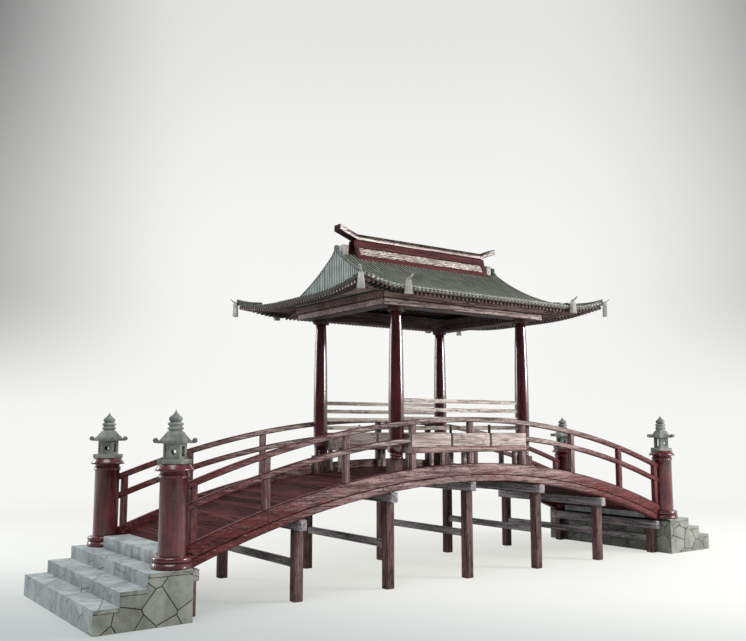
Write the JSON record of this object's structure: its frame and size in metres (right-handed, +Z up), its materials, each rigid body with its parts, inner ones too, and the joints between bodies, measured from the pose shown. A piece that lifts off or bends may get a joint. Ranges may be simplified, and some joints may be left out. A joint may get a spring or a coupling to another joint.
{
  "type": "moon bridge",
  "caption": "Arched timber footbridge on trestle bents with a roofed pavilion over the middle, benches, stone stairs and stone lanterns on the end posts.",
  "frame": {"origin": "on the floor under the middle of the span", "axes": "+X along the bridge, -Y towards the front, +Z up"},
  "size_m": [11.526, 3.8566, 5.422],
  "materials": {
    "red_timber": "worn lacquer",
    "brown_timber": "bare, dark",
    "pale_timber": "bare, weathered",
    "stone": "rough",
    "roof_tile": "matt",
    "cream_panel": "worn paint"
  },
  "bodies": {
    "root": {"post_left_front": "red_timber", "post_left_back": "red_timber", "post_right_front": "red_timber", "post_right_back": "red_timber", "front_girder_upper": "red_timber", "front_girder_lower": "red_timber", "back_girder_upper": "red_timber", "back_girder_lower": "red_timber", "top_rails": "red_timber", "mid_rails": "red_timber", "rail_posts": "red_timber", "columns": "red_timber", "column_brackets": "red_timber", "upper_ring_beam": "red_timber", "ridge_frames": "red_timber", "ridge_board": "red_timber", "legs": "brown_timber", "bent_caps": "brown_timber", "bent_ties": "brown_timber", "deck": "brown_timber", "ridge_beam": "brown_timber", "rafters": "brown_timber", "corner_rafters": "brown_timber", "lower_ring_beam": "pale_timber", "front_bench_seat": "pale_timber", "front_bench_legs": "pale_timber", "front_bench_back": "pale_timber", "back_bench_seat": "pale_timber", "back_bench_legs": "pale_timber", "back_bench_back": "pale_timber", "left_steps": "stone", "left_platform": "stone", "left_threshold": "stone", "right_steps": "stone", "right_platform": "stone", "right_threshold": "stone", "lantern_left_front": "stone", "lantern_left_back": "stone", "lantern_right_front": "stone", "lantern_right_back": "stone", "end_blocks": "stone", "front_slope": "roof_tile", "back_slope": "roof_tile", "left_skirt": "roof_tile", "right_skirt": "roof_tile", "gables": "roof_tile", "verge_ridges": "roof_tile", "corner_ridges": "roof_tile", "ridge_panels": "cream_panel"}
  },
  "joints": []
}
